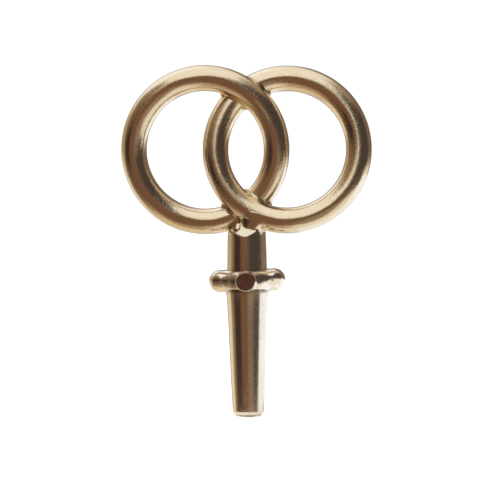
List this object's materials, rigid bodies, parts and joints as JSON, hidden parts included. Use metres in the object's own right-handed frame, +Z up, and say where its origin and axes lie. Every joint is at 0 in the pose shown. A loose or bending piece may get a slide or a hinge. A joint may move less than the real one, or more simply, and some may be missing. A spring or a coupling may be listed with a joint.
{
  "type": "radiator bleed key",
  "caption": "Brass radiator bleed key with a bow of linked rings, a lugged collar held by a cross rivet, and a tapered barrel with a square socket.",
  "frame": {"origin": "middle of the socket's mouth, at the tip of the barrel", "axes": "+Z up the key from the socket's mouth to the bow, +X to the right along the pair of rings, -Y out of the front, where the left ring passes over the right ring at the top"},
  "size_m": [0.0652, 0.0184, 0.0912],
  "materials": {
    "ring_brass": "polished brass, warm cream highlights, slightly uneven casting",
    "stem_brass": "polished brass with fine casting folds at the top",
    "barrel_brass": "polished brass with fine pits and scratches",
    "collar_brass": "polished brass, edges worn bright",
    "rivet_brass": "brown tarnished brass, satin",
    "braze": "bright pale brazing brass, smooth hollow fillets"
  },
  "bodies": {
    "root": {"ring_left": "ring_brass", "ring_right": "ring_brass", "stem": "stem_brass", "barrel": "barrel_brass", "lug_collar": "collar_brass", "cross_rivet": "rivet_brass", "braze_top_crossing": "braze", "braze_bottom_crossing": "braze", "braze_bow_seat": "braze"}
  },
  "joints": []
}
